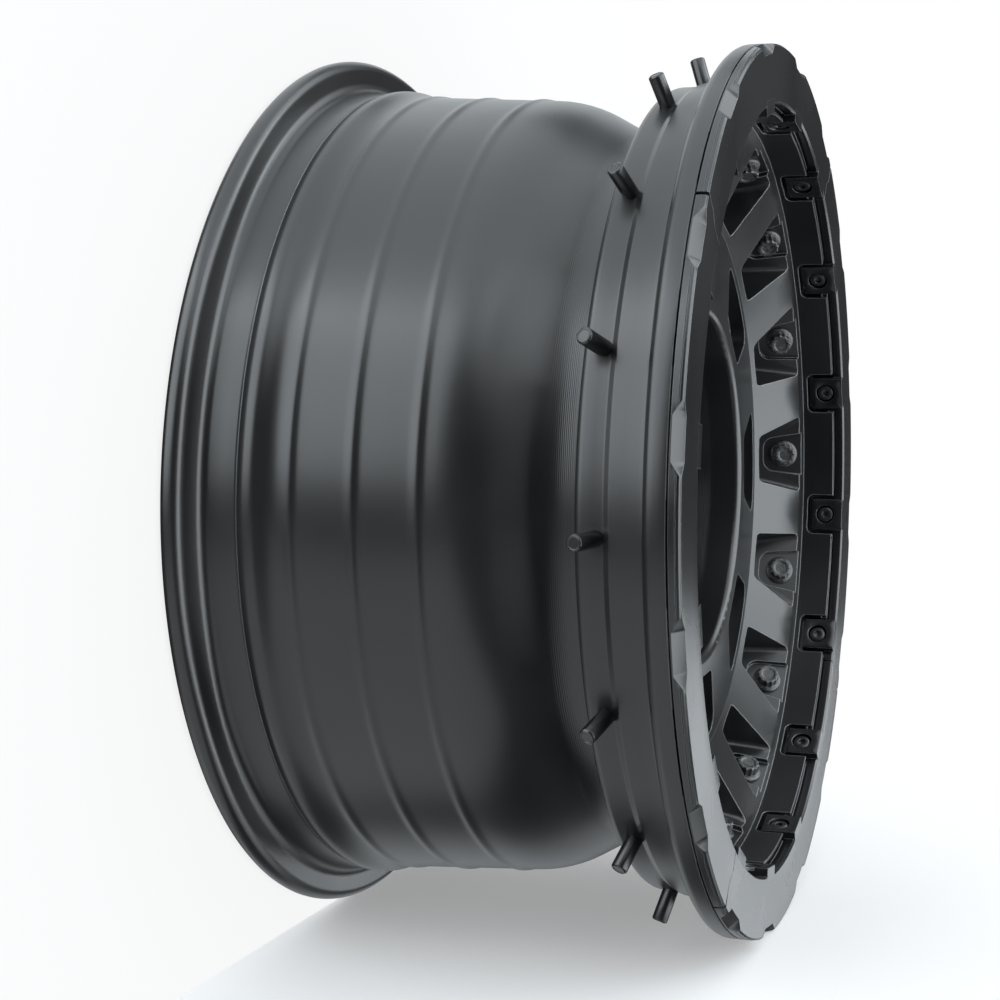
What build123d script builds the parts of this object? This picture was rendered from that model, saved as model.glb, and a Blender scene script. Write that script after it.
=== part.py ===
from build123d import *
from math import cos, radians, sin, sqrt, tan
import os

# Off-road alloy car wheel, 17 x 8.5 inches, with a four-piece screwed lip ring and
# sixteen bead bolts that run out through the rim. Millimetres. The wheel axis is Z,
# the face looks up, and the inboard flange stands on z = 0. The first bead bolt lies
# over the +X axis.

os.makedirs("parts", exist_ok=True)

# Driving dimensions: rim contour
bead_seat_dia = 436.6
rim_width = 215.9
flange_height = 17.3
flange_width = 11.5
flange_round = 5.5
flange_foot_round = 6.0
bead_seat_width = 19.0
bead_seat_taper = 5.0
hump_height = 1.6
hump_width = 12.0
hump_fall = 4.0
wall = 6.0
barrel_drop = 3.7
barrel_taper = 5.3
well_depth = 29.8
well_width = 9.5
well_wall_run = 8.5
well_slope_run = 36.0
well_round = 20.0
well_blend = 60.0
bolt_land_round = 4.0
bolt_land_drop = 3.5
bolt_land_width = 12.5
seat_step_run = 3.0

# Driving dimensions: face
face_inner_radius = 150.0
face_cone_rise = 20.7
lip_inner_radius = 200.0
lip_foot_height = 19.0
lip_foot_step = 7.0
lip_foot_drop = 1.5
annulus_rise = 3.3
annulus_thickness = 16.0
disc_tube_chamfer = 10.0
disc_rim_chamfer = 5.0
lip_groove_depth = 3.5
lip_groove_width = 3.0
lip_edge = 1.5

# Driving dimensions: hub
wheel_offset = 0.0
hub_thickness = 22.0
hub_pocket_radius = 94.0
hub_pocket_round = 4.0
hub_tube_wall = 9.0
centre_bore_dia = 106.2
lug_count = 6
lug_circle_dia = 139.7
lug_hole_dia = 15.0
lug_seat_dia = 27.0
lug_seat_angle = 60.0

# Driving dimensions: windows, bead bolts, slots and valve hole
bolt_count = 16
bolt_tilt = 16.1
bolt_face_radius = 184.7
bolt_face_drop = 35.0
bolt_dia = 8.0
bolt_length = 40.0
bolt_head_height = 8.0
bolt_head_width = 11.5
bolt_flange_dia = 17.0
bolt_flange_thickness = 2.0
bolt_end_chamfer = 0.9
bolt_hole_clearance = 0.2
window_inner_width = 34.6
window_outer_width = 52.0
window_draft = 11.0
window_inner_round = 5.0
window_outer_round = 3.0
pocket_depth = 3.0
pocket_inner_width = 20.0
pocket_outer_width = 28.8
pocket_inner_length = 13.3
pocket_outer_length = 18.0
pocket_round = 7.0
slot_count = 8
slot_outer_gap = 6.0
slot_inner_gap = 11.0
slot_outer_width = 70.0
slot_inner_width = 36.0
slot_depth = 12.0
slot_corner = 8.0
valve_hole_dia = 11.5
valve_angle = 281.25
valve_face_radius = 172.0
valve_well_radius = 197.0

# Driving dimensions: lip ring, its tabs, notches and screws
ring_thickness = 6.4
ring_radial_width = 31.1
ring_edge_chamfer = 1.0
segment_count = 4
seam_angle = 51.0
seam_gap = 0.6
seam_shift = 5.0
seam_bend_radius = 6.0
tab_width = 19.5
tab_depth = 19.5
tab_thickness = 8.0
tab_side_gap = 2.75
tab_back_gap = 0.3
tab_corner = 4.0
notch_leg = 5.0
notch_length = 20.0
notch_end_slope = 45.0
screw_dia = 6.0
screw_length = 18.0
screw_head_dia = 10.5
screw_head_height = 3.3
screw_head_sink = 0.7
screw_head_clearance = 0.5
screw_hole_clearance = 0.2
screw_hole_spare = 2.0
screw_socket_width = 4.0
screw_socket_depth = 2.0
screw_front_distance = 10.8

# Worked-out radii and heights: barrel
seat_r = bead_seat_dia / 2
seat_fall = bead_seat_width * tan(radians(bead_seat_taper))
seat_end_r = seat_r - seat_fall
flange_r = seat_r + flange_height
flange_out_z = flange_width + rim_width
hump_z = flange_width + bead_seat_width
hump_end_z = hump_z + hump_width
barrel_start_r = seat_r - barrel_drop
barrel_start_z = hump_end_z + hump_fall
barrel_end_r = barrel_start_r - barrel_taper
seat_out_z = flange_out_z - bead_seat_width
land_end_z = seat_out_z - seat_step_run
land_start_z = land_end_z - bolt_land_width
bolt_land_r = seat_r - bolt_land_drop
well_r = seat_r - well_depth
well_end_z = land_start_z - well_wall_run
well_start_z = well_end_z - well_width
barrel_end_z = well_start_z - well_slope_run
well_inside_r = well_r - wall

# Worked-out radii and heights: face and hub
ring_seat_z = flange_out_z + flange_width
front_z = ring_seat_z + ring_thickness
ring_inner_r = flange_r - ring_radial_width
groove_in_r = lip_inner_radius + lip_edge
groove_out_r = groove_in_r + lip_groove_width
lip_foot_z = ring_seat_z - lip_foot_height
cone_out_r = lip_inner_radius - lip_foot_step
cone_out_z = lip_foot_z - lip_foot_drop
cone_in_z = cone_out_z - face_cone_rise
annulus_z = cone_in_z + annulus_rise
disc_back_z = cone_in_z - annulus_thickness
hub_face_z = flange_width + rim_width / 2 + wheel_offset
hub_floor_z = hub_face_z + hub_thickness
hub_tube_r = hub_pocket_radius + hub_tube_wall
bore_r = centre_bore_dia / 2

# Worked-out places: windows, bolts, tabs and segments
bolt_step = 360 / bolt_count
bolt_face_z = front_z - bolt_face_drop
slot_inner_r = hub_pocket_radius + slot_inner_gap
slot_outer_r = face_inner_radius - slot_outer_gap
segment_step = 360 / segment_count
tab_z = front_z - tab_depth
tab_back_r = lip_inner_radius + tab_thickness
screw_z = front_z - screw_front_distance
screw_seat_r = lip_inner_radius + screw_head_sink + screw_head_height
screw_tip_r = screw_seat_r + screw_length
ring_middle_r = (ring_inner_r + flange_r) / 2
notch_depth = notch_leg / sqrt(2)
above = front_z + ring_thickness


def near(section, radius, height):
    """The corner of a drawn section that lies nearest to a radius and a height."""
    return section.vertices().sort_by_distance((radius, height))[0]


def bolt_plane(depth):
    """A plane square to the first bead bolt, at a depth below its outer face. Its
    normal runs out through the rim, its x along the rim and its y to the front."""
    out = Vector(cos(radians(bolt_tilt)), 0, -sin(radians(bolt_tilt)))
    face = Vector(bolt_face_radius, 0, bolt_face_z)
    return Plane(origin=face + out * depth, x_dir=(0, 1, 0), z_dir=out)


def screw_plane(radius):
    """A plane square to the first ring screw: x along the rim, y to the front."""
    return Plane(origin=(radius, 0, screw_z), x_dir=(0, 1, 0), z_dir=(1, 0, 0))


# Rim blank: one turned section, out over the barrel from the inboard flange to the
# lip, then back over the face to the hub and along the inside of the barrel
with BuildPart() as rim_blank:
    with BuildSketch(Plane.XZ) as rim_section:
        with BuildLine():
            Polyline(
                (seat_r - wall, 0),
                (flange_r, 0),
                (flange_r, flange_width),
                (seat_r, flange_width),
                (seat_end_r, hump_z),
                (seat_end_r + hump_height, hump_z + hump_width / 3),
                (seat_end_r + hump_height, hump_z + hump_width * 2 / 3),
                (barrel_start_r, barrel_start_z),
                (barrel_end_r, barrel_end_z),
                (well_r, well_start_z),
                (well_r, well_end_z),
                (bolt_land_r, land_start_z),
                (bolt_land_r, land_end_z),
                (seat_end_r, seat_out_z),
                (seat_r, flange_out_z),
                (flange_r, flange_out_z),
                (flange_r, ring_seat_z),
                (groove_out_r, ring_seat_z),
                (groove_out_r, ring_seat_z - lip_groove_depth),
                (groove_in_r, ring_seat_z - lip_groove_depth),
                (groove_in_r, ring_seat_z),
                (lip_inner_radius, ring_seat_z),
                (lip_inner_radius, lip_foot_z),
                (cone_out_r, cone_out_z),
                (face_inner_radius, cone_in_z),
                (hub_pocket_radius, annulus_z),
                (hub_pocket_radius, hub_floor_z),
                (bore_r, hub_floor_z),
                (bore_r, hub_face_z),
                (hub_tube_r, hub_face_z),
                (hub_tube_r, disc_back_z),
                (well_inside_r, disc_back_z),
                (well_inside_r, well_start_z),
                (barrel_end_r - wall, barrel_end_z - wall / 2),
                (barrel_start_r - wall, barrel_start_z),
                close=True,
            )
        make_face()
        fillet(near(rim_section, barrel_end_r, barrel_end_z), well_blend)
        fillet(near(rim_section, well_r, well_start_z), well_round)
        fillet(near(rim_section, bolt_land_r, land_start_z), bolt_land_round)
        fillet(near(rim_section, seat_r, flange_width), flange_foot_round)
        fillet(near(rim_section, seat_r, flange_out_z), flange_foot_round)
        fillet(near(rim_section, flange_r, 0), flange_round)
        fillet(near(rim_section, flange_r, flange_width), flange_round)
        fillet(near(rim_section, flange_r, flange_out_z), flange_round)
        fillet(near(rim_section, hub_pocket_radius, annulus_z), hub_pocket_round)
        chamfer(near(rim_section, hub_tube_r, disc_back_z), disc_tube_chamfer)
        chamfer(near(rim_section, well_inside_r, disc_back_z), disc_rim_chamfer)
    revolve(axis=Axis.Z)

# One window between two spokes, open to the back. Its side walls have draft, and its
# outer wall stands square to the bead bolt
with BuildPart() as window_cut:
    with BuildSketch(Plane.XY.offset(lip_foot_z)) as window_plan:
        with BuildLine():
            Polyline(
                (face_inner_radius, -window_inner_width / 2),
                (lip_inner_radius, -window_outer_width / 2),
                (lip_inner_radius, window_outer_width / 2),
                (face_inner_radius, window_inner_width / 2),
                close=True,
            )
        make_face()
        fillet(window_plan.vertices().group_by(Axis.X)[0], window_inner_round)
    extrude(amount=-(lip_foot_z - disc_back_z + wall), taper=window_draft)
    split(bisect_by=bolt_plane(bolt_head_height - pocket_depth), keep=Keep.BOTTOM)
    outer_wall = window_cut.faces().sort_by(Axis.X)[-1]
    fillet(outer_wall.edges().sort_by(Axis.Y)[0], window_outer_round)
    outer_wall = window_cut.faces().sort_by(Axis.X)[-1]
    fillet(outer_wall.edges().sort_by(Axis.Y)[-1], window_outer_round)

# The U-shaped pocket of the bolt's flange in that outer wall, and the bolt's hole
with BuildPart() as bolt_cut:
    with BuildSketch(bolt_plane(bolt_head_height)) as pocket_plan:
        with BuildLine():
            Polyline(
                (-pocket_inner_width / 2, -pocket_inner_length),
                (pocket_inner_width / 2, -pocket_inner_length),
                (pocket_outer_width / 2, pocket_outer_length),
                (-pocket_outer_width / 2, pocket_outer_length),
                close=True,
            )
        make_face()
        fillet(pocket_plan.vertices().group_by(Axis.Y)[0], pocket_round)
    extrude(amount=-bolt_head_height)
    with BuildSketch(bolt_plane(0)):
        Circle(bolt_dia / 2 + bolt_hole_clearance)
    extrude(amount=bolt_head_height + bolt_length + bolt_dia)

# One blind slot of the flat inner face
with BuildPart() as slot_cut:
    with BuildSketch(Plane.XY.offset(annulus_z - slot_depth)) as slot_plan:
        with BuildLine():
            Polyline(
                (slot_inner_r, -slot_inner_width / 2),
                (slot_outer_r, -slot_outer_width / 2),
                (slot_outer_r, slot_outer_width / 2),
                (slot_inner_r, slot_inner_width / 2),
                close=True,
            )
        make_face()
        Circle(slot_outer_r, mode=Mode.INTERSECT)
        fillet(slot_plan.vertices(), slot_corner)
    extrude(amount=above - annulus_z)

# The recess in the lip wall for one tab of the ring, with the screw's thread hole
with BuildPart() as tab_cut:
    with BuildSketch(Plane(origin=(cone_out_r, 0, 0), x_dir=(0, 1, 0), z_dir=(1, 0, 0))):
        with Locations((0, (tab_z - tab_side_gap + above) / 2)):
            RectangleRounded(
                tab_width + 2 * tab_side_gap, above - tab_z + tab_side_gap, tab_corner
            )
    extrude(amount=tab_back_r + tab_back_gap - cone_out_r)
    with BuildSketch(screw_plane(lip_inner_radius)):
        Circle(screw_dia / 2 + screw_hole_clearance)
    extrude(amount=screw_tip_r + screw_hole_spare - lip_inner_radius)

# The valve hole: from a spoke's front down to the side of the well
with BuildPart() as valve_cut:
    cone_fall = (cone_out_r - valve_face_radius) / (cone_out_r - face_inner_radius)
    valve_top = Vector(valve_face_radius, 0, cone_out_z - cone_fall * face_cone_rise)
    valve_end = Vector(valve_well_radius, 0, well_end_z)
    with BuildSketch(Plane(origin=valve_top, z_dir=valve_end - valve_top)):
        Circle(valve_hole_dia / 2)
    extrude(amount=(valve_end - valve_top).length + valve_hole_dia)
    extrude(valve_cut.faces().sort_by(Axis.Z)[-1], amount=valve_hole_dia)

# Rim: the blank with its windows, bolt pockets, slots, tab recesses and hub holes
with BuildPart() as rim:
    add(rim_blank.part)
    with PolarLocations(0, bolt_count):
        add(window_cut.part, mode=Mode.SUBTRACT)
        add(bolt_cut.part, mode=Mode.SUBTRACT)
    with PolarLocations(0, slot_count):
        add(slot_cut.part, mode=Mode.SUBTRACT)
    with PolarLocations(0, bolt_count, start_angle=bolt_step / 2):
        add(tab_cut.part, mode=Mode.SUBTRACT)
    with Locations(Rotation(0, 0, valve_angle)):
        add(valve_cut.part, mode=Mode.SUBTRACT)
    with Locations((0, 0, hub_floor_z)):
        with PolarLocations(lug_circle_dia / 2, lug_count):
            CounterSinkHole(
                lug_hole_dia / 2,
                lug_seat_dia / 2,
                counter_sink_angle=lug_seat_angle,
            )
rim.part.label = "rim"
export_step(rim.part, "parts/rim.step")

# Lip ring: one turned ring with a tab and an edge notch beside each spoke, parted by
# S-shaped seams into like segments
with BuildPart() as ring:
    with BuildSketch(Plane.XZ) as ring_section:
        with BuildLine():
            Polyline(
                (ring_inner_r, ring_seat_z),
                (flange_r, ring_seat_z),
                (flange_r, front_z),
                (ring_inner_r, front_z),
                close=True,
            )
        make_face()
        chamfer(near(ring_section, flange_r, front_z), ring_edge_chamfer)
        chamfer(near(ring_section, ring_inner_r, front_z), ring_edge_chamfer)
    revolve(axis=Axis.Z)
    with PolarLocations(0, bolt_count, start_angle=bolt_step / 2):
        with Locations(((lip_inner_radius + tab_back_r) / 2, 0, (tab_z + front_z) / 2)):
            Box(tab_thickness, tab_width, tab_depth)

# One screw's counterbored hole, from the axis side of the tab
with BuildPart() as screw_cut:
    with BuildSketch(screw_plane(screw_seat_r)):
        Circle(screw_head_dia / 2 + screw_head_clearance)
    extrude(amount=-2 * tab_thickness)
    with BuildSketch(screw_plane(screw_seat_r)):
        Circle(screw_dia / 2 + screw_hole_clearance)
    extrude(amount=tab_back_r)

# One notch across the ring's front edge, flat at the bottom with sloping ends
edge_plane = Plane(origin=(flange_r, 0, front_z), x_dir=(0, 1, 0), z_dir=(1, 0, -1))
with BuildPart() as notch_cut:
    with BuildSketch(edge_plane):
        with BuildLine():
            flare = 2 * notch_depth / tan(radians(notch_end_slope))
            Polyline(
                (-notch_length / 2, -notch_depth),
                (notch_length / 2, -notch_depth),
                (notch_length / 2 + flare, notch_depth),
                (-notch_length / 2 - flare, notch_depth),
                close=True,
            )
        make_face()
    extrude(amount=2 * notch_leg, both=True)

# One seam between two segments
with BuildPart() as seam_cut:
    with BuildSketch(Plane.XY.offset(tab_z)):
        with BuildLine():
            FilletPolyline(
                (lip_inner_radius, seam_shift / 2),
                (ring_middle_r - seam_shift / 2, seam_shift / 2),
                (ring_middle_r + seam_shift / 2, -seam_shift / 2),
                (flange_r + seam_shift, -seam_shift / 2),
                radius=seam_bend_radius,
            )
        trace(line_width=seam_gap)
    extrude(amount=above - tab_z)

with BuildPart() as ring_cut:
    add(ring.part)
    with PolarLocations(0, bolt_count, start_angle=bolt_step / 2):
        add(screw_cut.part, mode=Mode.SUBTRACT)
        add(notch_cut.part, mode=Mode.SUBTRACT)
    with PolarLocations(0, segment_count, start_angle=seam_angle):
        add(seam_cut.part, mode=Mode.SUBTRACT)
first_quarter = ring_cut.part.solids().sort_by(Axis.X)[-1]

for number in range(segment_count):
    with BuildPart() as ring_segment:
        with Locations(Rotation(0, 0, number * segment_step)):
            add(first_quarter)
    ring_segment.part.label = f"lip_ring_segment_{number + 1}"
    export_step(ring_segment.part, f"parts/lip_ring_segment_{number + 1}.step")

# Ring screw: a button head with a hexagon socket on a plain shank
with BuildPart() as screw:
    with BuildSketch(screw_plane(screw_seat_r)):
        Circle(screw_head_dia / 2)
    extrude(amount=-screw_head_height)
    chamfer(screw.faces().sort_by(Axis.X)[0].edges(), screw_head_height / 2)
    with BuildSketch(screw_plane(screw_seat_r - screw_head_height)):
        RegularPolygon(screw_socket_width / 2, 6, major_radius=False)
    extrude(amount=screw_socket_depth, mode=Mode.SUBTRACT)
    with BuildSketch(screw_plane(screw_seat_r)):
        Circle(screw_dia / 2)
    extrude(amount=screw_length)

for number in range(bolt_count):
    with BuildPart() as ring_screw:
        with Locations(Rotation(0, 0, (number + 0.5) * bolt_step)):
            add(screw.part)
    ring_screw.part.label = f"ring_screw_{number + 1}"
    export_step(ring_screw.part, f"parts/ring_screw_{number + 1}.step")

# Bead bolt: a twelve-point head on a flange, and a shank that stands out of the rim
with BuildPart() as bolt:
    with BuildSketch(bolt_plane(0)):
        RegularPolygon(bolt_head_width / 2, 6, major_radius=False)
        RegularPolygon(bolt_head_width / 2, 6, major_radius=False, rotation=30)
    extrude(amount=bolt_head_height)
    with BuildSketch(bolt_plane(bolt_head_height)):
        Circle(bolt_flange_dia / 2)
    extrude(amount=-bolt_flange_thickness)
    with BuildSketch(bolt_plane(bolt_head_height)):
        Circle(bolt_dia / 2)
    extrude(amount=bolt_length)
    chamfer(bolt.faces().sort_by(Axis.X)[-1].edges(), bolt_end_chamfer)

for number in range(bolt_count):
    with BuildPart() as bead_bolt:
        with Locations(Rotation(0, 0, number * bolt_step)):
            add(bolt.part)
    bead_bolt.part.label = f"bead_bolt_{number + 1}"
    export_step(bead_bolt.part, f"parts/bead_bolt_{number + 1}.step")
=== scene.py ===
import math

import bmesh
import bpy
import numpy as np
from mathutils import Matrix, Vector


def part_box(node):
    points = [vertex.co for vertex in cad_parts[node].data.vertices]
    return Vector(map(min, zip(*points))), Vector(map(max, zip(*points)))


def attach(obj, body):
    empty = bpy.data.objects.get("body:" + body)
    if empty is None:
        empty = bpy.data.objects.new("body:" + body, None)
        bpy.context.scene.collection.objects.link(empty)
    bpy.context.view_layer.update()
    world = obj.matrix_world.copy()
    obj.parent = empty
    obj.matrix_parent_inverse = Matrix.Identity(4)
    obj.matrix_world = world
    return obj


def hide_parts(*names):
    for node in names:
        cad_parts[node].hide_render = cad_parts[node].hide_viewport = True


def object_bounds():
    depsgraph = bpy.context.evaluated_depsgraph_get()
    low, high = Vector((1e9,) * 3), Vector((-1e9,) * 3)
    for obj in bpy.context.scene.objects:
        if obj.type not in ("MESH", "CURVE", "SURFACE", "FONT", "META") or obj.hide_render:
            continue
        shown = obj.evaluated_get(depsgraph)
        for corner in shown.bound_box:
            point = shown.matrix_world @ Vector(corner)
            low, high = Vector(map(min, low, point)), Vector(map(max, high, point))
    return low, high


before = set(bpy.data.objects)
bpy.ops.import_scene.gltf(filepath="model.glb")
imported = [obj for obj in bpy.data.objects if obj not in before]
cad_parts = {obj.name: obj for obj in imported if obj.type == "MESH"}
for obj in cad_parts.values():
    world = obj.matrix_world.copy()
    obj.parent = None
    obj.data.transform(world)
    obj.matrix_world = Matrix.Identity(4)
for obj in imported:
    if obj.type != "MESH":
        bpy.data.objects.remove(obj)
cad_low, cad_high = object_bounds()

# Sizes in metres. The wheel stands on its inboard flange, its axis is Z, its face looks
# up, and wheel angles count from the first bead bolt, which lies over +X.
mm = 0.001
flange_r = cad_high.x
front_z = cad_high.z
ring_seat_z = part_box("rim")[1].z
bolt_count = 16
bolt_step = 2 * math.pi / bolt_count

# Camera of the photograph: its lens in pixels, and where the wheel stands in front of it
photo_side = 1000
lens_pixels = 1833
optical_centre = (600, 400)
sensor_width = 36
axis_turn = 0.286
axis_rise = 0.012
axis_foot = np.array([-135.313, 44.290, 1058.367]) * mm
angle_at_top = math.radians(176.4)

# Rim contour, outside, in millimetres: each corner's radius, height and rounding
contour = np.array([
    (212.3, 0, 0),
    (flange_r / mm, 0, 5.5),
    (flange_r / mm, 11.5, 5.5),
    (218.3, 11.5, 6),
    (216.64, 30.5, 0.4),
    (218.24, 34.5, 8),
    (218.24, 38.5, 9),
    (214.6, 46.5, 24),
    (209.3, 138.9, 60),
    (188.5, 174.9, 20),
    (188.5, 184.4, 0),
    (214.8, 192.9, 4),
    (214.8, 205.4, 1.5),
    (216.64, 208.4, 1.5),
    (218.3, 227.4, 6),
    (flange_r / mm, 227.4, 5.5),
    (flange_r / mm, ring_seat_z / mm, 0.6),
    (208.6, ring_seat_z / mm, 0),
]) * mm
rim_steps = 480
barrel_ridges = np.array([55.5, 85.5, 116.5]) * mm
ridge_height = 0.8 * mm
ridge_width = 2.1 * mm
fine_grooves = np.array([30.3, 225.2]) * mm
groove_depth = 0.35 * mm
groove_width = 0.4 * mm
form_spread = np.linspace(-2.4, 2.4, 9)
contour_pitch = 9 * mm
contour_reach = 0.2 * mm
well_floor_end = 184.4 * mm
well_line_slack = 0.01 * mm
patch_sharp = math.radians(32)
face_sharp = math.radians(28)

# Lip ring: four segments with tabs, notches and S-shaped seams
segment_count = 4
segment_step = 2 * math.pi / segment_count
tabs_per_segment = bolt_count // segment_count
ring_inner_r = 204.5 * mm
seam_angle = math.radians(51)
seam_gap = 0.6 * mm
seam_mouth = 1.9 * mm
seam_mouth_r = 228 * mm
seam_mouth_run = 5 * mm
seam_shift = 5 * mm
seam_bend_r = 215 * mm
seam_bend_run = 10 * mm
seam_reach = math.radians(1.9)
edge_leg = 1 * mm
notch_depth = 3.54 * mm
notch_length = 20 * mm
notch_end_run = 6 * mm
edge_round = 0.35 * mm
round_share = 0.3
end_share = 0.985
end_stations = 7
across_count = 13
end_crowding = 1.5
groove_floor_share = 0.6
foot_cut = 0.8 * mm
ring_groove_z = ring_seat_z + 4.0 * mm
ring_groove_depth = 0.4 * mm
ring_groove_half = 0.25 * mm
ring_lean = 0.45 * mm
tab_inner_r = 200 * mm
tab_outer_r = 208 * mm
tab_width = 19.5 * mm
tab_round = 0.45 * mm
tab_corner = 0.12 * mm
counterbore_lip = 0.1 * mm
tab_drop = 0.02 * mm
tab_steps = 64
counterbore_r = 5.75 * mm
screw_z = front_z - 10.8 * mm
screw_seat_r = 204 * mm

fastener_steps = 72

# Ring screw: radius and depth of each ring, from the bottom of the socket to the tip
screw_socket_half = 2 * mm
screw_socket_depth = 2 * mm
screw_socket_point = 0.6 * mm
screw_socket_floor_share = 0.97
screw_socket_edge = np.array([(0, 0.25), (0.12, 0.03)]) * mm
screw_head_top_r = screw_seat_r - 3.3 * mm
screw_rings = np.array([
    (2.7, 0.0), (3.6, 0.02), (4.4, 0.25), (4.95, 0.8), (5.2, 1.5), (5.25, 2.2),
    (5.25, 3.05), (5.0, 3.3), (3.0, 3.3), (3.0, 20.3), (2.2, 21.3),
]) * mm

# Bead bolt: a twelve-point head on a flange, its shank leaning inboard through the rim
bolt_tilt = math.radians(16.1)
bolt_face_r = 184.7 * mm
bolt_face_z = front_z - 35 * mm
bolt_head_half = 5.75 * mm
bolt_recess = np.array([(3.4, 0.5), (3.9, 0.15)]) * mm
bolt_recess_floor = 0.6 * mm
bolt_top_share = 0.86
bolt_edge_share = 0.92
bolt_edge_drop = 0.1 * mm
bolt_points_start = 0.7 * mm
bolt_points_end = 5.6 * mm
bolt_rings = np.array([
    (7.2, 5.9), (8.1, 6.3), (8.5, 6.8), (8.5, 7.7), (8.2, 8.0), (4.0, 8.0), (4.0, 8.6),
    (4.0, 30.0), (4.0, 47.2), (3.85, 47.5), (3.2, 48.0), (2.9, 48.0), (2.6, 47.75),
]) * mm


def unit(vector):
    """The vector at length one."""
    vector = np.asarray(vector, float)
    return vector / np.linalg.norm(vector)


def smooth(x):
    """0 below 0, 1 above 1 and an S-shaped rise between: 3 x squared less 2 x cubed."""
    x = np.clip(x, 0, 1)
    return x * x * (3 - 2 * x)


def picture_axes():
    """The wheel's own axes as the camera sees them (right, down, away): the direction that
    is up in the picture, the one away from it, and the wheel axis."""
    along = np.array([
        math.cos(axis_turn) * math.cos(axis_rise),
        math.sin(axis_rise),
        -math.sin(axis_turn) * math.cos(axis_rise),
    ])
    up = np.array([0.0, -1.0, 0.0])
    up = unit(up - along * (along @ up))
    return up, np.cross(up, along), along


def to_wheel(vector):
    """A direction in the camera's axes (right, down, away), turned into the wheel's frame."""
    up_row = np.array([math.cos(angle_at_top), math.sin(angle_at_top), 0])
    far_row = np.array([math.sin(angle_at_top), -math.cos(angle_at_top), 0])
    axis_row = np.array([0, 0, 1])
    up, far, along = picture_axes()
    vector = np.asarray(vector, float)
    return (vector @ up) * up_row + (vector @ far) * far_row + (vector @ along) * axis_row


def rounded(corners, arc_steps=7):
    """A line through corners (x, y, rounding). Each corner with a rounding becomes an arc
    that touches both sides, its ends radius times tan(half the turn) away."""
    line = [corners[0, :2]]
    for before, corner, after in zip(corners[:-2], corners[1:-1], corners[2:]):
        here, radius = corner[:2], corner[2]
        if radius == 0:
            line.append(here)
            continue
        into, out = unit(here - before[:2]), unit(after[:2] - here)
        turn = math.atan2(into[0] * out[1] - into[1] * out[0], into @ out)
        reach = radius * math.tan(abs(turn) / 2)
        side = np.array([-into[1], into[0]]) * math.copysign(1, turn)
        centre = here - into * reach + side * radius
        swing = np.linspace(0, turn, arc_steps)
        spoke = -side * radius
        line += [centre + np.array([
            spoke[0] * math.cos(a) - spoke[1] * math.sin(a),
            spoke[0] * math.sin(a) + spoke[1] * math.cos(a),
        ]) for a in swing]
    line.append(corners[-1, :2])
    return np.array(line)


def divided(line, pitch):
    """The line with points added so that none of its steps is longer than pitch."""
    points = [line[:1]]
    for start, end in zip(line[:-1], line[1:]):
        count = max(int(math.ceil(np.linalg.norm(end - start) / pitch)), 1)
        share = np.linspace(0, 1, count + 1)[1:, None]
        points.append(start + (end - start) * share)
    return np.concatenate(points)


def turned(section, steps):
    """A section (radius, height) turned about the wheel axis: x is r cos a, y is r sin a."""
    angle = np.arange(steps) * 2 * math.pi / steps
    radius, height = section.T
    return np.stack([
        np.outer(np.cos(angle), radius),
        np.outer(np.sin(angle), radius),
        np.broadcast_to(height, (steps, len(height))),
    ], axis=-1)


def frame_at(angle, radius, height, tilt=0):
    """The origin and the three axes (along the rim, to the front, outward) of a fastener at
    a wheel angle. Tilt leans its outward axis inboard."""
    out = np.array([math.cos(angle), math.sin(angle), 0])
    along = np.array([-math.sin(angle), math.cos(angle), 0])
    origin = out * radius + np.array([0, 0, height])
    outward = out * math.cos(tilt) - np.array([0, 0, math.sin(tilt)])
    return origin, along, np.cross(outward, along), outward


def ringed(place, rings, steps):
    """Rings stacked along a fastener's axis. A ring is (radius, depth, centre): its radius
    is a number or one value for each step round, its centre lies along the rim and to the
    front of the axis."""
    origin, along, front, outward = place
    swing = np.arange(steps) * 2 * math.pi / steps
    points = []
    for radius, depth, centre in rings:
        x = radius * np.cos(swing) + centre[0]
        y = radius * np.sin(swing) + centre[1]
        points.append(origin + np.outer(x, along) + np.outer(y, front) + outward * depth)
    return np.stack(points, axis=1)


def polygon_radius(half, sides, steps, offset=0):
    """The radius of a regular polygon at each step round: its half width over the cosine of
    the angle from the nearest flat."""
    swing = np.arange(steps) * 2 * math.pi / steps - offset
    flat = 2 * math.pi / sides
    away = np.abs((swing + flat / 2) % flat - flat / 2)
    return half / np.cos(away)


def add_piece(name, patches, material, replaced):
    """One mesh from patches (points, closed round, closed along). points[i, j] and its
    neighbours make quads that face out where i runs round to the left and j outward."""
    corners, faces, first = [], [], 0
    for points, closed_i, closed_j in patches:
        count_i, count_j = points.shape[:2]
        index = np.arange(count_i * count_j).reshape(count_i, count_j) + first
        if closed_i:
            index = np.concatenate([index, index[:1]], axis=0)
        if closed_j:
            index = np.concatenate([index, index[:, :1]], axis=1)
        quads = np.stack([index[:-1, :-1], index[1:, :-1], index[1:, 1:], index[:-1, 1:]], -1)
        corners.append(points.reshape(-1, 3))
        faces.append(quads.reshape(-1, 4))
        first += count_i * count_j
    mesh = bpy.data.meshes.new(name)
    mesh.from_pydata(np.concatenate(corners).tolist(), [], np.concatenate(faces).tolist())
    finish_piece(name, mesh, material, replaced, patch_sharp)


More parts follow.
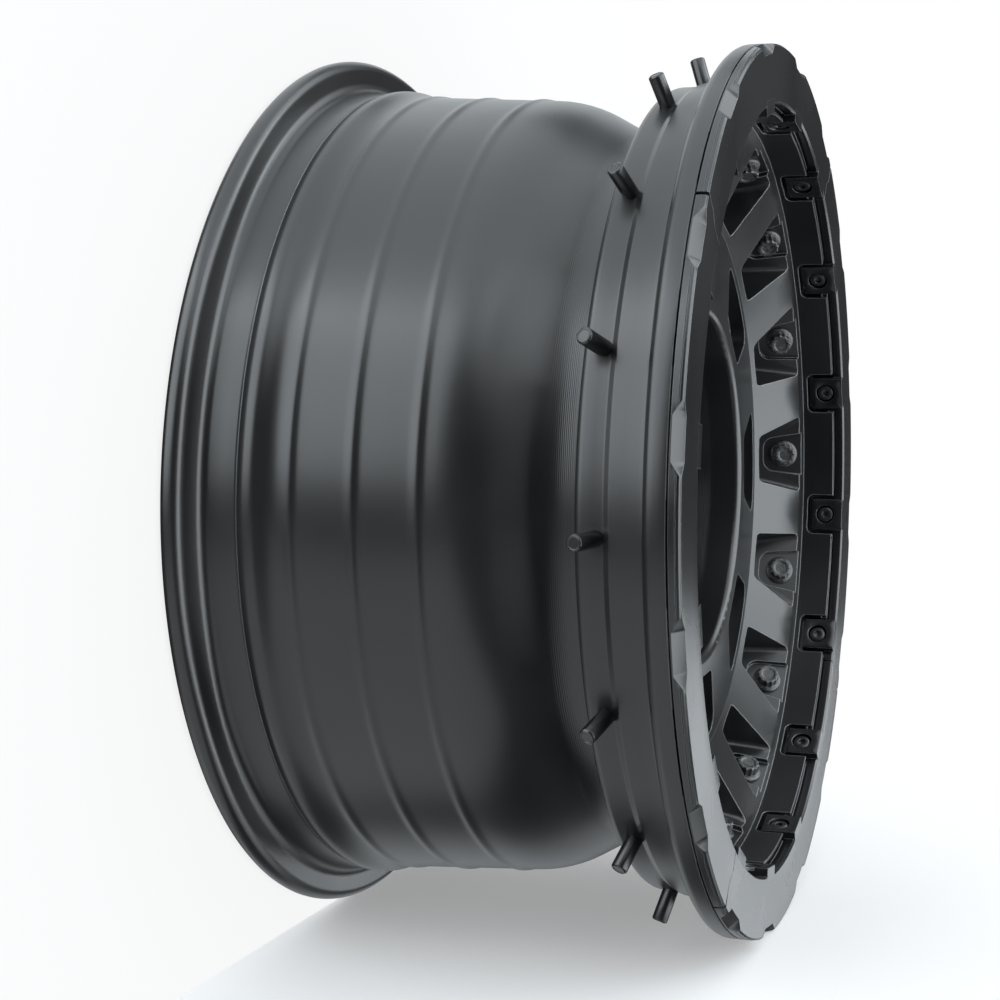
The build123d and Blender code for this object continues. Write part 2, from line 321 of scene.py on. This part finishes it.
def finish_piece(name, mesh, material, replaced, sharp):
    """Merges a mesh's doubled points, shades it smooth but at its sharp edges, and hangs it
    on the wheel in place of the CAD nodes that it stands for."""
    shape = bmesh.new()
    shape.from_mesh(mesh)
    bmesh.ops.remove_doubles(shape, verts=shape.verts, dist=1e-6)
    bmesh.ops.dissolve_degenerate(shape, edges=shape.edges, dist=1e-7)
    shape.to_mesh(mesh)
    shape.free()
    mesh.shade_smooth()
    mesh.set_sharp_from_angle(angle=sharp)
    mesh.materials.clear()
    mesh.materials.append(material)
    piece = bpy.data.objects.new(name, mesh)
    bpy.context.scene.collection.objects.link(piece)
    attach(piece, "root")
    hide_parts(*replaced)


def contour_lines():
    """The rim's outer contour in two lines: out from the inboard flange to the well's floor,
    and from the well's side wall to the ring's seat. Points stand close together where a
    ridge or a groove crosses."""
    line = rounded(contour)
    wall = np.argmax(line[:, 1] > well_floor_end - well_line_slack)
    lines = [divided(part, contour_pitch) for part in (line[:wall + 1], line[wall + 1:])]
    forms = [(0, z, ridge_width) for z in barrel_ridges]
    forms += [(number, z, groove_width) for number, z in enumerate(fine_grooves)]
    for number, height, width in forms:
        part = lines[number]
        first = np.argmax(part[:, 1] > height - form_spread[-1] * width)
        last = np.argmax(part[:, 1] > height + form_spread[-1] * width)
        heights = height + form_spread * width
        run = part[first - 1:last + 1]
        extra = np.column_stack([np.interp(heights, run[:, 1], run[:, 0]), heights])
        lines[number] = np.concatenate([part[:first], extra, part[last:]])
    return lines


def rim_barrel():
    """The rim's outer side but for the well's side wall, turned. Three low ridges stand on
    the barrel and two fine grooves run round at the bead seats, each a bell curve of the
    height."""
    patches = []
    for radius, height in (line.T for line in contour_lines()):
        for ridge in barrel_ridges:
            radius = radius + ridge_height * np.exp(-((height - ridge) / ridge_width) ** 2)
        for groove in fine_grooves:
            radius = radius - groove_depth * np.exp(-((height - groove) / groove_width) ** 2)
        section = np.column_stack([radius, height])
        patches.append((turned(section, rim_steps), True, False))
    add_piece("rim_barrel", patches, coat, ["rim"])


def contour_distance(radius, height):
    """How far each (radius, height) lies from the outer contour: the least distance to any
    of its short lines, or to the corners that they round off."""
    line = rounded(contour, 25)
    start, end = line[:-1], line[1:]
    run = end - start
    point = np.column_stack([radius, height])
    offset = point[:, None, :] - start[None]
    share = np.clip((offset * run).sum(-1) / (run * run).sum(-1), 0, 1)
    from_line = np.linalg.norm(offset - share[..., None] * run, axis=-1).min(axis=1)
    from_corner = np.linalg.norm(point[:, None, :] - contour[None, :, :2], axis=-1).min(axis=1)
    return np.minimum(from_line, from_corner)


def rim_face():
    """The rim's other sides: face, windows, hub, inside, and the well's side wall with the
    valve hole in it. A merged copy of the CAD solid without the triangles that the barrel
    piece makes. Those of the ring's seat that reach in to the bore stay, under the ring."""
    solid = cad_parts["rim"].data
    place = np.empty(len(solid.vertices) * 3)
    solid.vertices.foreach_get("co", place)
    place = place.reshape(-1, 3)
    corner = np.empty(len(solid.loops), int)
    solid.loops.foreach_get("vertex_index", corner)
    triangle = corner.reshape(-1, 3)
    radius, height = np.hypot(place[:, 0], place[:, 1]), place[:, 2]
    outside = contour_distance(radius, height) < contour_reach
    outside |= (np.abs(height - ring_seat_z) < contour_reach) & (radius > tab_outer_r)
    well_side = contour_lines()[1][0, 1]
    slack = 2 * well_line_slack
    wall = (height > well_floor_end - slack) & (height < well_side + slack)
    kept = ~outside[triangle].all(axis=1) | wall[triangle].all(axis=1)
    mesh = bpy.data.meshes.new("rim_face")
    mesh.from_pydata(place.tolist(), [], triangle[kept].tolist())
    finish_piece("rim_face", mesh, coat, ["rim"], face_sharp)


def tab_angles(number):
    """The wheel angles of one segment's tabs, which lie between the bead bolts."""
    first = (number - 0.5) * tabs_per_segment + 0.5
    return (first + np.arange(tabs_per_segment)) * bolt_step


def seam_line(radius):
    """How far a seam lies from its own angle, along the rim: half the shift to one side near
    the bore, half to the other outside, with an S-shaped rise between."""
    return seam_shift * (0.5 - smooth((radius - seam_bend_r) / seam_bend_run))


def seam_half_gap(radius):
    """Half the seam's width: thin across the face and wider at the outer edge."""
    wider = smooth((radius - seam_mouth_r) / seam_mouth_run)
    return (seam_gap + (seam_mouth - seam_gap) * wider) / 2


def ring_stations(number):
    """Angles along one segment: even steps, closer together at its two ends, with one at
    each corner of a notch."""
    start = seam_angle + (number - 1) * segment_step
    end = start + segment_step
    even = np.linspace(start, end, rim_steps // segment_count + 1)
    close = seam_reach * np.linspace(0, 1, end_stations) ** end_crowding
    corner = np.array([notch_length / 2, notch_length / 2 + notch_end_run]) / flange_r
    notch = [tab_angles(number) + side * place for place in corner for side in (-1, 1)]
    return np.unique(np.concatenate([even, start + close, end - close, *notch]).round(6))


def edge_chamfer(angle):
    """The leg of the front edge's chamfer at each angle: deep over a notch's length, shallow
    elsewhere, and falling evenly from one to the other."""
    middle = (angle % bolt_step - bolt_step / 2) * flange_r
    past = np.clip((np.abs(middle) - notch_length / 2) / notch_end_run, 0, 1)
    deep = notch_depth * math.sqrt(2)
    return deep + (edge_leg - deep) * past


def ring_section(leg):
    """One section of the lip ring, counter-clockwise from its bore, for each chamfer leg.
    Corners are cut twice, a little, so that they shade as small rounds. A fine groove runs
    round the outer edge, and the band in front of it leans back."""
    low, high = ring_seat_z, front_z
    across = np.linspace(seam_bend_r - mm, seam_mouth_r + mm, across_count)
    soft = edge_round
    turn = soft * (1 - math.sqrt(0.5))
    half = soft * math.sqrt(0.5)
    bore, edge = ring_inner_r, flange_r
    zero = 0 * leg
    fixed = [(bore, low + soft), (bore + turn, low + turn), (bore + soft, low)]
    fixed += [(radius, low) for radius in across]
    fixed += [
        (edge - foot_cut - turn, low), (edge - foot_cut + turn, low + turn),
        (edge - turn, low + foot_cut), (edge, low + foot_cut + turn),
    ]
    rows = [(radius + zero, height + zero) for radius, height in fixed]
    band_end = high - leg - soft
    depth = ring_groove_depth * smooth((band_end - ring_groove_z) / (2 * ring_groove_half))
    lean = ring_lean * smooth((band_end - ring_groove_z) / (high - ring_groove_z))
    floor_half = ring_groove_half * groove_floor_share
    rows += [
        (edge + zero, np.minimum(ring_groove_z - ring_groove_half, band_end)),
        (edge - depth, np.minimum(ring_groove_z - floor_half, band_end)),
        (edge - depth, np.minimum(ring_groove_z + floor_half, band_end)),
        (edge + zero, np.minimum(ring_groove_z + ring_groove_half, band_end)),
        (edge - lean, band_end),
        (edge - lean - turn * round_share, high - leg),
        (edge - lean - half, high - leg + half),
        (edge - leg - half + soft, high - half + zero),
        (edge - leg, high - turn * round_share + zero),
        (edge - leg - soft, high + zero),
    ]
    rows += [(np.minimum(radius, edge - leg - soft), high + zero) for radius in across[::-1]]
    fixed = [
        (bore + edge_leg + soft, high), (bore + edge_leg, high - turn * round_share),
        (bore + edge_leg - half, high - half), (bore + half, high - edge_leg + half),
        (bore + turn * round_share, high - edge_leg), (bore, high - edge_leg - soft),
    ]
    rows += [(radius + zero, height + zero) for radius, height in fixed]
    return np.stack([np.stack(row, axis=-1) for row in rows], axis=1)


def ring_sweep(number):
    """One segment without its tabs: the section carried round between two seams. Near each
    end the angle moves over by the seam's line and half its gap, both divided by the
    radius, and two smaller sections and their middle close the end."""
    angle = ring_stations(number)
    start, end = angle[0], angle[-1]
    section = ring_section(edge_chamfer(angle))
    middle = section.mean(axis=1, keepdims=True)
    first = [middle[:1] + (section[:1] - middle[:1]) * share for share in (0, end_share)]
    last = [middle[-1:] + (section[-1:] - middle[-1:]) * share for share in (end_share, 0)]
    section = np.concatenate([*first, section, *last])
    angle = np.concatenate([angle[:1], angle[:1], angle, angle[-1:], angle[-1:]])
    radius, height = section[..., 0], section[..., 1]
    near_start = 1 - smooth((angle - start)[:, None] / seam_reach)
    near_end = 1 - smooth((end - angle)[:, None] / seam_reach)
    soft = np.zeros(len(angle))
    soft[2] = edge_round
    soft[-3] = -edge_round
    shift = seam_line(radius) * (near_start + near_end)
    shift = shift + seam_half_gap(radius) * (near_start - near_end) + soft[:, None]
    turn = angle[:, None] + shift / radius
    return np.stack([radius * np.cos(turn), radius * np.sin(turn), height], axis=-1)


def tab(angle):
    """One tab of the ring: a square block seen from the axis, with a counterbore. Rings run
    from the middle of the counterbore's floor out over the block's face, down its sides and
    in to the middle of its back."""
    place = frame_at(angle, tab_inner_r, screw_z)
    square = polygon_radius(tab_width / 2, 4, tab_steps)
    lift = (0, front_z - tab_width / 2 - screw_z - tab_drop)
    deep = screw_seat_r - tab_inner_r
    thick = tab_outer_r - tab_inner_r
    flat = (0, 0)
    rings = [
        (0, deep, flat),
        (0.5 * counterbore_r, deep, flat),
        (counterbore_r - tab_round, deep, flat),
        (counterbore_r, deep - tab_round, flat),
        (counterbore_r, tab_round, flat),
        (counterbore_r + tab_corner, counterbore_lip, flat),
        (counterbore_r + tab_round, 0, flat),
        (square - tab_round, 0, lift),
        (square - tab_corner, tab_corner, lift),
        (square, tab_round, lift),
        (square, thick - tab_round, lift),
        (square - tab_round, thick, lift),
        (0 * square, thick, lift),
    ]
    return ringed(place, rings, tab_steps)


def lip_ring():
    """The four ring segments, each with its tabs."""
    for number in range(segment_count):
        patches = [(ring_sweep(number), False, True)]
        patches += [(tab(angle), True, False) for angle in tab_angles(number)]
        add_piece(
            f"lip_ring_{number + 1}", patches, ring_coat,
            [f"lip_ring_segment_{number + 1}"],
        )


def ring_screw(number):
    """A button head screw: a hexagon socket in a domed head, and a plain shank."""
    place = frame_at((number + 0.5) * bolt_step, screw_head_top_r, screw_z)
    socket = polygon_radius(screw_socket_half, 6, fastener_steps)
    flat = (0, 0)
    rings = [
        (0, screw_socket_depth + screw_socket_point, flat),
        (socket * screw_socket_floor_share, screw_socket_depth, flat),
    ]
    rings += [(socket + wider, depth, flat) for wider, depth in screw_socket_edge]
    rings += [(radius, depth, flat) for radius, depth in screw_rings]
    rings.append((0, screw_rings[-1, 1], flat))
    add_piece(
        f"socket_screw_{number + 1}", [(ringed(place, rings, fastener_steps), True, False)],
        screw_steel, [f"ring_screw_{number + 1}"],
    )


def bead_bolt(number):
    """A flange bolt with a twelve-point head: two hexagons turned half a corner apart, over
    a round flange and a shank that stands out of the rim."""
    place = frame_at(number * bolt_step, bolt_face_r, bolt_face_z, bolt_tilt)
    points = np.maximum(
        polygon_radius(bolt_head_half, 6, fastener_steps),
        polygon_radius(bolt_head_half, 6, fastener_steps, math.radians(30)),
    )
    flat = (0, 0)
    rings = [(0, bolt_recess_floor, flat)]
    rings += [(radius, depth, flat) for radius, depth in bolt_recess]
    rings += [
        (bolt_head_half * bolt_top_share, 0, flat),
        (points * bolt_edge_share, bolt_edge_drop, flat),
        (points, bolt_points_start, flat),
        (points, bolt_points_end, flat),
    ]
    rings += [(radius, depth, flat) for radius, depth in bolt_rings]
    rings.append((0, bolt_rings[-1, 1], flat))
    add_piece(
        f"flange_bolt_{number + 1}", [(ringed(place, rings, fastener_steps), True, False)],
        black_steel, [f"bead_bolt_{number + 1}"],
    )


def add_camera():
    """The photograph's camera: where it stood, turned and framed."""
    data = bpy.data.cameras.new("camera")
    data.sensor_width = sensor_width
    data.lens = sensor_width * lens_pixels / photo_side
    data.shift_x = 0.5 - optical_centre[0] / photo_side
    data.shift_y = optical_centre[1] / photo_side - 0.5
    data.clip_start = 0.05
    data.clip_end = 50
    camera = bpy.data.objects.new("camera", data)
    bpy.context.scene.collection.objects.link(camera)
    right, down, away = (to_wheel(axis) for axis in np.eye(3))
    turn = np.column_stack([right, -down, -away])
    place = Matrix.Translation(to_wheel(-axis_foot))
    camera.matrix_world = place @ Matrix(turn.tolist()).to_4x4()
    bpy.context.scene.camera = camera


def add_lamp(name, direction, distance, size, radiance):
    """A rectangular soft lamp that looks at the wheel's middle from a direction in the
    camera's axes (right, down, away). Its power is its radiance times pi times its area."""
    data = bpy.data.lights.new(name, "AREA")
    data.shape = "RECTANGLE"
    data.size, data.size_y = size
    data.energy = radiance * math.pi * size[0] * size[1]
    data.color = lamp_colour
    lamp = bpy.data.objects.new(name, data)
    lamp.visible_camera = False
    bpy.context.scene.collection.objects.link(lamp)
    look = unit(to_wheel(direction))
    side = unit(np.cross(to_wheel((0.05, -1, 0.1)), look))
    turn = np.column_stack([side, np.cross(look, side), look])
    centre = np.array([0, 0, front_z / 2]) + look * distance
    lamp.matrix_world = Matrix.Translation(centre) @ Matrix(turn.tolist()).to_4x4()


def add_stage(name, corners, material):
    """A flat stage piece through four corners. The lamps shine through it, it takes the
    wheel's shadow, and no reflection shows it."""
    mesh = bpy.data.meshes.new(name)
    mesh.from_pydata([list(corner) for corner in corners], [], [(0, 1, 2, 3)])
    mesh.materials.append(material)
    piece = bpy.data.objects.new(name, mesh)
    bpy.context.scene.collection.objects.link(piece)
    piece.visible_glossy = False
    piece.visible_shadow = False
    piece.visible_diffuse = False


def node(tree, kind, values=(), **settings):
    """A node of a kind with its settings. Each value is a number, or a socket to link."""
    made = tree.nodes.new("ShaderNode" + kind)
    for name, value in settings.items():
        setattr(made, name, value)
    for key, value in dict(values).items():
        if isinstance(value, bpy.types.NodeSocket):
            tree.links.new(value, made.inputs[key])
        else:
            made.inputs[key].default_value = value
    return made


def maths(tree, operation, *values):
    """The result of a Math node."""
    return node(tree, "Math", dict(enumerate(values)), operation=operation).outputs[0]


def ranged(tree, value, low, high, to_low=0.0, to_high=1.0, kind="SMOOTHSTEP"):
    """A value's place between low and high, carried over to another range."""
    values = {0: value, 1: low, 2: high, 3: to_low, 4: to_high}
    return node(tree, "MapRange", values, interpolation_type=kind).outputs[0]


def noise(tree, place, scale, detail, distortion=0.0):
    """A noise pattern's value at a place."""
    values = {"Vector": place, "Scale": scale, "Detail": detail, "Distortion": distortion}
    return node(tree, "TexNoise", values).outputs["Fac"]


def new_group(name, inputs, outputs):
    """An empty node group with named float or vector sockets, and its two end nodes."""
    tree = bpy.data.node_groups.new(name, "ShaderNodeTree")
    for label, kind, value in inputs:
        socket = tree.interface.new_socket(label, in_out="INPUT", socket_type="NodeSocket" + kind)
        socket.default_value = value
    for label, kind in outputs:
        tree.interface.new_socket(label, in_out="OUTPUT", socket_type="NodeSocket" + kind)
    given = tree.nodes.new("NodeGroupInput").outputs
    return tree, given, tree.nodes.new("NodeGroupOutput").inputs


def make_coat_grain():
    """Sprayed coat: a fine orange peel for the bump, and a slow change of tone."""
    tree, given, result = new_group(
        "coat_grain", [("Peel", "Float", 700.0)], [("Height", "Float"), ("Tone", "Float")]
    )
    place = node(tree, "TexCoord").outputs["Object"]
    peel = noise(tree, place, given["Peel"], 2.0)
    dust = noise(tree, place, maths(tree, "MULTIPLY", given["Peel"], 4.3), 3.0)
    tree.links.new(maths(tree, "MULTIPLY_ADD", dust, 0.35, peel), result["Height"])
    tree.links.new(ranged(tree, noise(tree, place, 9.0, 5.0), 0.3, 0.7), result["Tone"])
    return tree


def make_soft_edges():
    """Rounded edges: the surface's direction as if each edge had a small radius, and a mask
    of those edges, from how far it turns away from the face."""
    tree, given, result = new_group(
        "soft_edges", [("Radius", "Float", 0.0005)], [("Normal", "Vector"), ("Edge", "Float")]
    )
    soft = node(tree, "Bevel", {"Radius": given["Radius"]}, samples=4).outputs["Normal"]
    plain = node(tree, "NewGeometry").outputs["Normal"]
    same = node(tree, "VectorMath", {0: soft, 1: plain}, operation="DOT_PRODUCT").outputs["Value"]
    tree.links.new(soft, result["Normal"])
    tree.links.new(ranged(tree, same, 0.998, 0.86), result["Edge"])
    return tree


def make_turning_lines():
    """Lathe lines round the wheel between two heights: a sine wave of the height."""
    tree, given, result = new_group(
        "turning_lines",
        [("Low", "Float", 0.0), ("High", "Float", 1.0), ("Pitch", "Float", 0.001)],
        [("Height", "Float")],
    )
    place = node(tree, "TexCoord").outputs["Object"]
    height = node(tree, "SeparateXYZ", {0: place}).outputs["Z"]
    wave = maths(tree, "SINE", maths(
        tree, "MULTIPLY", maths(tree, "DIVIDE", height, given["Pitch"]), 2 * math.pi
    ))
    low_end = maths(tree, "ADD", given["Low"], lines_fade)
    high_end = maths(tree, "SUBTRACT", given["High"], lines_fade)
    into = ranged(tree, height, given["Low"], low_end)
    out = ranged(tree, height, given["High"], high_end)
    shown = maths(tree, "MULTIPLY", into, out)
    tree.links.new(maths(tree, "MULTIPLY", wave, shown), result["Height"])
    return tree


def make_forged_streaks():
    """Forged and blackened steel: curling streaks, as a height and a tone."""
    tree, given, result = new_group(
        "forged_streaks", [("Size", "Float", 260.0)], [("Height", "Float"), ("Tone", "Float")]
    )
    place = node(tree, "TexCoord").outputs["Object"]
    curl = noise(tree, place, given["Size"], 4.0, 3.5)
    tree.links.new(curl, result["Height"])
    tree.links.new(ranged(tree, curl, 0.47, 0.6), result["Tone"])
    return tree


def grouped(tree, group, **values):
    """A node group's outputs, with its inputs set."""
    made = tree.nodes.new("ShaderNodeGroup")
    made.node_tree = group
    for label, value in values.items():
        made.inputs[label].default_value = value
    return made.outputs


def blended(tree, share, first, second):
    """A colour between two, by a share. Each is a socket or red, green and blue."""
    first, second = (
        colour if isinstance(colour, bpy.types.NodeSocket) else (*colour, 1)
        for colour in (first, second)
    )
    values = {0: share, 6: first, 7: second}
    return node(tree, "Mix", values, data_type="RGBA").outputs[2]


def finish_material(material, colour, roughness, height, normal, bump):
    """Sets a material's Principled shader: colour and roughness from nodes, and a bump over
    the softened edges."""
    tree = material.node_tree
    shader = tree.nodes["Principled BSDF"]
    values = {"Height": height, "Normal": normal, "Strength": 1.0, "Distance": bump}
    bumped = node(tree, "Bump", values).outputs["Normal"]
    tree.links.new(colour, shader.inputs["Base Color"])
    tree.links.new(roughness, shader.inputs["Roughness"])
    tree.links.new(bumped, shader.inputs["Normal"])
    shader.inputs["Specular IOR Level"].default_value = specular_level


def new_material(name):
    """A new node material."""
    material = bpy.data.materials.new(name)
    material.use_nodes = True
    return material


def coat_material(name, dark, light, painted_edge_highlight, rough, edge_radius, lines=None):
    """Satin black coat: sprayed grain, tone that drifts a little, a painted highlight of lighter
    colour on its edges, and lathe lines where the rim was turned."""
    material = new_material(name)
    tree = material.node_tree
    grain = grouped(tree, coat_grain, Peel=peel_size)
    edges = grouped(tree, soft_edges, Radius=edge_radius)
    height = grain["Height"]
    if lines:
        low, high, pitch, depth = lines
        turned_marks = grouped(tree, turning_lines, Low=low, High=high, Pitch=pitch)
        height = maths(tree, "MULTIPLY_ADD", turned_marks["Height"], depth, height)
    # Painted highlight: a lighter tone blended in over the edge mask
    colour = blended(tree, edges["Edge"], blended(tree, grain["Tone"], dark, light), painted_edge_highlight)
    least, most = rough
    roughness = ranged(tree, grain["Tone"], 0, 1, least, most, "LINEAR")
    finish_material(material, colour, roughness, height, edges["Normal"], coat_bump)
    return material


def steel_material(name, plain, streaked, painted_highlight_and_wear, streaked_within):
    """Blackened steel of the screws and bolts: streaks from forging on what lies nearer to the
    wheel's axis than a radius, smooth beyond it, and lighter edges: wear and a painted highlight."""
    material = new_material(name)
    tree = material.node_tree
    streak = grouped(tree, forged_streaks, Size=streak_size)
    edges = grouped(tree, soft_edges, Radius=steel_edge_radius)
    place = node(tree, "TexCoord").outputs["Object"]
    flat = node(tree, "VectorMath", {0: place, 1: (1, 1, 0)}, operation="MULTIPLY").outputs[0]
    radius = node(tree, "VectorMath", {0: flat}, operation="LENGTH").outputs["Value"]
    forged = ranged(tree, radius, streaked_within, streaked_within + streak_fade, 1.0, 0.0)
    tone = maths(tree, "MULTIPLY", streak["Tone"], forged)
    height = maths(tree, "MULTIPLY", streak["Height"], forged)
    # Painted highlight and wear: a lighter tone blended in over the edge mask
    colour = blended(tree, edges["Edge"], blended(tree, tone, plain, streaked), painted_highlight_and_wear)
    roughness = ranged(tree, tone, 0, 1, *steel_roughness, "LINEAR")
    finish_material(material, colour, roughness, height, edges["Normal"], steel_bump)
    return material


def pale_material(name, albedo, white, reach, clear=None):
    """Pale ground. The camera sees a share of plain white in it, the least share within the
    reach's first distance and all white past its second, and the rest is the lamps' own
    light with the wheel's shadow. With clear, only the front side is there, and it fades
    out between two distances."""
    material = new_material(name)
    tree = material.node_tree
    shader = tree.nodes["Principled BSDF"]
    shader.inputs["Base Color"].default_value = (albedo, albedo, albedo, 1)
    shader.inputs["Roughness"].default_value = 0.9
    plain = node(tree, "Emission", {"Strength": 1.0}).outputs[0]
    seen = node(tree, "LightPath").outputs["Is Camera Ray"]
    place = node(tree, "TexCoord").outputs["Object"]
    off = node(tree, "VectorMath", {0: place}, operation="LENGTH").outputs["Value"]
    share = maths(tree, "MULTIPLY", seen, ranged(tree, off, *reach, white, 1.0))
    surface = node(tree, "MixShader", {0: share, 1: shader.outputs[0], 2: plain}).outputs[0]
    if clear:
        front = maths(tree, "SUBTRACT", 1.0, node(tree, "NewGeometry").outputs["Backfacing"])
        cover = maths(tree, "MULTIPLY", front, ranged(tree, off, *clear, 1.0, 0.0))
        glass = node(tree, "BsdfTransparent").outputs[0]
        surface = node(tree, "MixShader", {0: cover, 1: glass, 2: surface}).outputs[0]
    tree.links.new(surface, tree.nodes["Material Output"].inputs["Surface"])
    return material


def add_world():
    """A dim studio room. The camera sees it white."""
    world = bpy.data.worlds.new("studio")
    world.use_nodes = True
    tree = world.node_tree
    seen = node(tree, "LightPath").outputs["Is Camera Ray"]
    strength = ranged(tree, seen, 0, 1, room_light, 1.0, "LINEAR")
    tree.links.new(strength, tree.nodes["Background"].inputs["Strength"])
    tree.nodes["Background"].inputs["Color"].default_value = (1, 1, 1, 1)
    bpy.context.scene.world = world


# Gloss, grain and edges of the wheel's surfaces
specular_level = 1.0
coat_bump = 0.012 * mm
steel_bump = 0.2 * mm
peel_size = 650.0
streak_size = 420.0
streak_fade = 5 * mm
steel_roughness = (0.3, 0.45)
steel_edge_radius = 0.3 * mm
lines_fade = 4 * mm

# Light and ground: how far the floor goes, and the ground's half length and half depth
lamp_colour = (0.90, 0.96, 1.0)
room_light = 0.04
far = 30.0
ground_long = 0.8
ground_deep = 0.4

coat_grain = make_coat_grain()
soft_edges = make_soft_edges()
turning_lines = make_turning_lines()
forged_streaks = make_forged_streaks()
# Both coats' lighter edge tones are painted highlights
coat = coat_material(
    "satin_black_coat", dark=(0.005, 0.0054, 0.0058), light=(0.011, 0.0118, 0.0127),
    painted_edge_highlight=(0.30, 0.315, 0.33), rough=(0.29, 0.34), edge_radius=0.8 * mm,
    lines=(168 * mm, 185.2 * mm, 0.9 * mm, 2.2),
)
ring_coat = coat_material(
    "ring_black_coat", dark=(0.005, 0.0054, 0.0058), light=(0.012, 0.0128, 0.0138),
    painted_edge_highlight=(0.22, 0.23, 0.24), rough=(0.25, 0.3), edge_radius=0.35 * mm,
)
# The steels' lighter edge colours are painted highlights along with wear
black_steel = steel_material(
    "black_steel", plain=(0.005, 0.0053, 0.0056), streaked=(0.085, 0.088, 0.092),
    painted_highlight_and_wear=(0.2, 0.21, 0.22), streaked_within=200 * mm,
)
# The screws' plain steel is lighter than the bolts' and partly paints in the light reflection on
# their heads
screw_steel = steel_material(
    "screw_steel", plain=(0.016, 0.017, 0.018), streaked=(0.06, 0.062, 0.065),
    painted_highlight_and_wear=(0.32, 0.33, 0.34), streaked_within=195 * mm,
)

add_camera()
rim_barrel()
rim_face()
lip_ring()
for number in range(bolt_count):
    ring_screw(number)
    bead_bolt(number)

add_stage(
    "floor", [(-far, -far, 0), (far, -far, 0), (far, far, 0), (-far, far, 0)],
    pale_material("pale_floor", 0.6, 0.85, (0.3, 0.8)),
)

# The photograph's ground: it touches the wheel's flange, below it in the picture
down = to_wheel(-picture_axes()[0])
ground = [
    to_wheel((side * ground_long, 0, depth * ground_deep))
    for side, depth in ((-1, -1), (1, -1), (1, 1), (-1, 1))
]
ground = [corner - down * (corner @ down) + down * flange_r for corner in ground]
add_stage(
    "ground", ground, pale_material("pale_ground", 0.95, 0.3, (0.32, 0.6), (0.4, 0.62))
)

# Lamps: name, direction, distance, size, radiance
for lamp in (
    ("top_softbox", (-0.76, -0.42, -0.5), 2.2, (2.4, 2.0), 2.3),
    ("ceiling", (-0.1, -0.9, -0.1), 2.0, (3.2, 3.4), 1.2),
    ("side_softbox", (0.91, -0.08, -0.25), 2.2, (3.5, 3.9), 3.0),
    ("corner_softbox", (0.62, -0.66, 0.33), 2.2, (1.2, 1.2), 2.2),
    ("low_corner_softbox", (0.66, 0.7, 0.12), 2.2, (1.3, 1.3), 1.0),
    ("low_softbox", (0.585, 0.33, 0.73), 1.95, (0.5, 0.7), 2.0),
    ("front_fill", (0.35, -0.65, -0.68), 2.2, (1.6, 1.2), 0.9),
    ("fill", (-0.45, 0.75, -0.45), 2.2, (3.0, 3.0), 0.6),
    ("back_top", (-0.25, -0.52, 0.82), 2.2, (2.2, 1.4), 1.2),
    ("back_low", (-0.08, 0.72, 0.68), 2.2, (1.7, 1.2), 0.6),
    ("left_low", (-0.62, 0.7, 0.3), 2.2, (1.4, 1.3), 0.45),
):
    add_lamp(*lamp)
bpy.context.scene.view_settings.view_transform = "Standard"
add_world()
